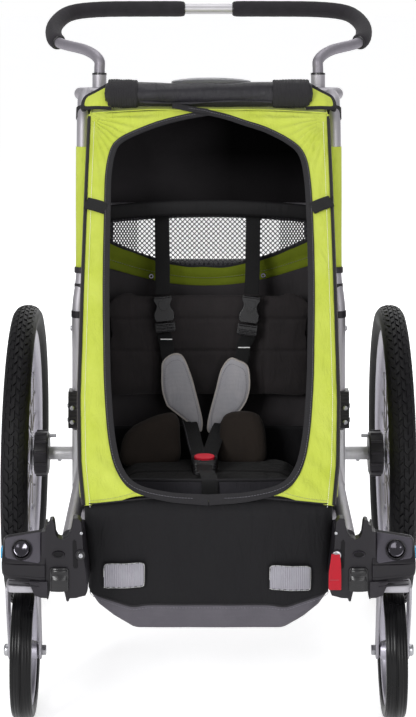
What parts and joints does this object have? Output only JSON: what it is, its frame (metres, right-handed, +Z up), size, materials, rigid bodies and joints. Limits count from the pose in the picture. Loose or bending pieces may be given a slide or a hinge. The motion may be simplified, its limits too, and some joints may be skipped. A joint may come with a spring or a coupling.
{
  "type": "child bicycle trailer",
  "caption": "Child bicycle trailer in stroller form: folding tube frame, fabric cabin with harness, spoked rear wheels, front casters and a push bar.",
  "frame": {"origin": "on the ground, under the middle of the overall length and width", "axes": "+X to the left-hand side of the seated child, -Y forwards (the front of the trailer faces -Y), +Z up"},
  "size_m": [0.673, 0.9846, 1.0037],
  "materials": {
    "silver_tube": "satin silver anodised",
    "fork_paint": "smooth light grey paint",
    "rim_metal": "brushed silver",
    "bright_button": "polished",
    "bolt_steel": "zinc plated",
    "black_plastic": "moulded, fine grain",
    "cover_plastic": "moulded, fine grain",
    "tyre": "treaded rubber",
    "foam": "closed-cell foam",
    "lime_fabric": "coated woven polyester",
    "black_fabric": "woven polyester",
    "grey_vinyl": "coated fabric",
    "window_vinyl": "tinted flexible film",
    "net": "open mesh",
    "webbing": "woven webbing",
    "pad_silver": "reflective fabric",
    "red_plastic": "moulded",
    "red_ribbon": "woven ribbon",
    "blue_plastic": "moulded"
  },
  "bodies": {
    "base": {"base_frame": "silver_tube", "rear_axle": "silver_tube", "foot_tub": "grey_vinyl", "seat_cushion": "black_fabric", "crotch_strap": "webbing", "harness_buckle": "black_plastic", "brake_bracket": "black_plastic", "red_pull_strap": "red_ribbon", "wheel_mount_L": "black_plastic", "caster_bracket_L": "black_plastic", "cover_plate_L": "cover_plastic", "wheel_mount_R": "black_plastic", "caster_bracket_R": "black_plastic", "cover_plate_R": "cover_plastic"},
    "upright": {"upright_frame": "silver_tube", "canopy": "lime_fabric", "rear_window": "net", "seat_back": "black_fabric", "cover_roll": "black_fabric", "cargo_bag": "black_fabric", "side_window_L": "window_vinyl", "shoulder_strap_L": "webbing", "shoulder_buckle_L": "black_plastic", "chest_pad_L": "pad_silver", "side_window_R": "window_vinyl", "shoulder_strap_R": "webbing", "shoulder_buckle_R": "black_plastic", "chest_pad_R": "pad_silver"},
    "handlebar": {"handlebar": "silver_tube", "grip_L": "foam", "grip_R": "foam"},
    "buckle_button": {"buckle_button": "red_plastic"},
    "brake_pedal": {"brake_pedal": "red_plastic"},
    "rear_wheel_L": {"rear_tyre_L": "tyre", "rear_rim_L": "rim_metal", "rear_hub_L": "rim_metal"},
    "wheel_button_L": {"wheel_release_button_L": "black_plastic"},
    "caster_L": {"caster_fork_L": "fork_paint", "caster_bolt_L": "bolt_steel"},
    "caster_wheel_L": {"caster_tyre_L": "tyre", "caster_rim_L": "rim_metal"},
    "caster_button_L": {"caster_release_button_L": "bright_button"},
    "release_tab_L": {"release_tab_L": "blue_plastic"},
    "fold_lock_L": {"fold_lock_L": "black_plastic"},
    "brake_pin_L": {"brake_pin_L": "bolt_steel"},
    "rear_wheel_R": {"rear_tyre_R": "tyre", "rear_rim_R": "rim_metal", "rear_hub_R": "rim_metal"},
    "wheel_button_R": {"wheel_release_button_R": "black_plastic"},
    "caster_R": {"caster_fork_R": "fork_paint", "caster_bolt_R": "bolt_steel"},
    "caster_wheel_R": {"caster_tyre_R": "tyre", "caster_rim_R": "rim_metal"},
    "caster_button_R": {"caster_release_button_R": "bright_button"},
    "release_tab_R": {"release_tab_R": "blue_plastic"},
    "fold_lock_R": {"fold_lock_R": "black_plastic"},
    "brake_pin_R": {"brake_pin_R": "bolt_steel"}
  },
  "joints": [
    {"name": "frame_fold", "type": "hinge", "parent": "base", "child": "upright", "pos_m": [0, 0.09914, 0.333], "axis": [1, 0, 0], "range_deg": [0, 80], "deforming": ["canopy", "side_window_L", "side_window_R", "shoulder_strap_L", "shoulder_strap_R", "chest_pad_L", "chest_pad_R"]},
    {"name": "handlebar_slide", "type": "slide", "parent": "upright", "child": "handlebar", "axis": [0, 0.1357, 0.9907], "range_m": [0, 0.112]},
    {"name": "harness_button_press", "type": "slide", "parent": "base", "child": "buckle_button", "axis": [0, 0, -1], "range_m": [0, 0.0025]},
    {"name": "brake_pedal_turn", "type": "hinge", "parent": "base", "child": "brake_pedal", "pos_m": [0.095, 0.18314, 0.222], "axis": [-1, 0, 0], "range_deg": [0, 15]},
    {"name": "rear_wheel_spin_L", "type": "hinge", "parent": "base", "child": "rear_wheel_L", "pos_m": [-0.314, 0.12514, 0.25], "axis": [1, 0, 0], "continuous": true},
    {"name": "wheel_button_press_L", "type": "slide", "parent": "rear_wheel_L", "child": "wheel_button_L", "axis": [1, 0, 0], "range_m": [0, 0.003]},
    {"name": "caster_swivel_L", "type": "hinge", "parent": "base", "child": "caster_L", "pos_m": [-0.272, -0.43286, 0.203], "axis": [0, 0, 1], "continuous": true},
    {"name": "caster_wheel_spin_L", "type": "hinge", "parent": "caster_L", "child": "caster_wheel_L", "pos_m": [-0.272, -0.39486, 0.098], "axis": [1, 0, 0], "continuous": true},
    {"name": "caster_button_press_L", "type": "slide", "parent": "base", "child": "caster_button_L", "axis": [0, 0.88, -0.475], "range_m": [0, 0.004]},
    {"name": "release_tab_press_L", "type": "slide", "parent": "base", "child": "release_tab_L", "axis": [1, 0, 0], "range_m": [0, 0.002]},
    {"name": "fold_lock_slide_L", "type": "slide", "parent": "upright", "child": "fold_lock_L", "axis": [0, 0, 1], "range_m": [0, 0.065]},
    {"name": "brake_pin_slide_L", "type": "slide", "parent": "base", "child": "brake_pin_L", "axis": [-1, 0, 0], "range_m": [0, 0.0056]},
    {"name": "rear_wheel_spin_R", "type": "hinge", "parent": "base", "child": "rear_wheel_R", "pos_m": [0.314, 0.12514, 0.25], "axis": [1, 0, 0], "continuous": true},
    {"name": "wheel_button_press_R", "type": "slide", "parent": "rear_wheel_R", "child": "wheel_button_R", "axis": [-1, 0, 0], "range_m": [0, 0.003]},
    {"name": "caster_swivel_R", "type": "hinge", "parent": "base", "child": "caster_R", "pos_m": [0.272, -0.43286, 0.203], "axis": [0, 0, 1], "continuous": true},
    {"name": "caster_wheel_spin_R", "type": "hinge", "parent": "caster_R", "child": "caster_wheel_R", "pos_m": [0.272, -0.39486, 0.098], "axis": [1, 0, 0], "continuous": true},
    {"name": "caster_button_press_R", "type": "slide", "parent": "base", "child": "caster_button_R", "axis": [0, 0.88, -0.475], "range_m": [0, 0.004]},
    {"name": "release_tab_press_R", "type": "slide", "parent": "base", "child": "release_tab_R", "axis": [-1, 0, 0], "range_m": [0, 0.002]},
    {"name": "fold_lock_slide_R", "type": "slide", "parent": "upright", "child": "fold_lock_R", "axis": [0, 0, 1], "range_m": [0, 0.065]},
    {"name": "brake_pin_slide_R", "type": "slide", "parent": "base", "child": "brake_pin_R", "axis": [1, 0, 0], "range_m": [0, 0.0056]}
  ],
  "couplings": [
    {"joint": "fold_lock_slide_L", "follows": "frame_fold", "m_per_rad": 0.0458},
    {"joint": "brake_pin_slide_L", "follows": "brake_pedal_turn", "m_per_rad": 0.021},
    {"joint": "fold_lock_slide_R", "follows": "frame_fold", "m_per_rad": 0.0458},
    {"joint": "brake_pin_slide_R", "follows": "brake_pedal_turn", "m_per_rad": 0.021}
  ]
}
